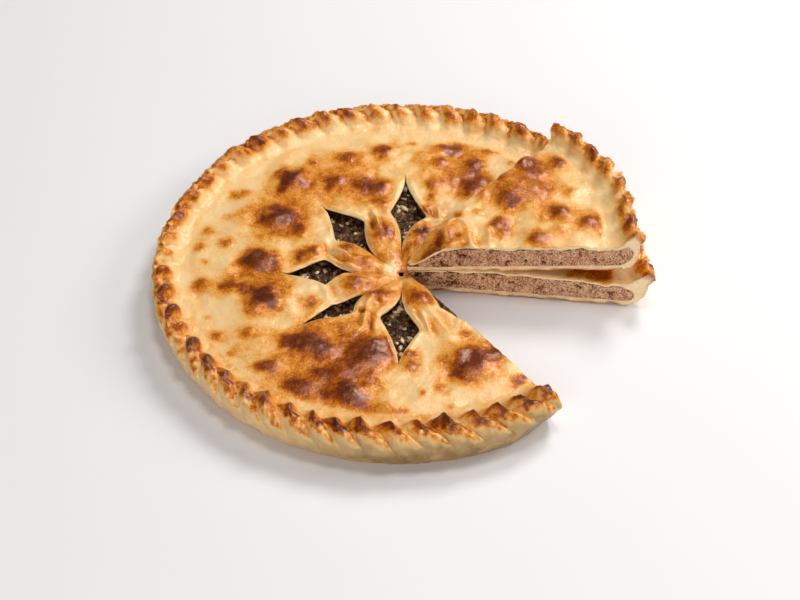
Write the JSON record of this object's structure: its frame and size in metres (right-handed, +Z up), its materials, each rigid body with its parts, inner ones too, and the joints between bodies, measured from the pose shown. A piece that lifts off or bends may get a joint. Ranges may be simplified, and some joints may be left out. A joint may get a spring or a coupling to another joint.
{
  "type": "ossetian pie",
  "caption": "Round flat baked meat pie with a rope-crimped rim and a star cut in the lid, one wedge cut out and laid back on top.",
  "frame": {"origin": "on the underside of the pie, under the middle of the star in the lid", "axes": "+Z up out of the lid, +X to the right in the picture, between the cut-out wedge and the slice, +Y away from the viewer"},
  "size_m": [0.3169, 0.3163, 0.0575],
  "materials": {
    "crust": "baked dough, brushed with butter, satin with brown blisters",
    "filling": "cooked minced meat, moist and grainy"
  },
  "bodies": {
    "root": {"pie_crust": "crust", "pie_filling": "filling", "slice_crust": "crust", "slice_filling": "filling"}
  },
  "joints": []
}
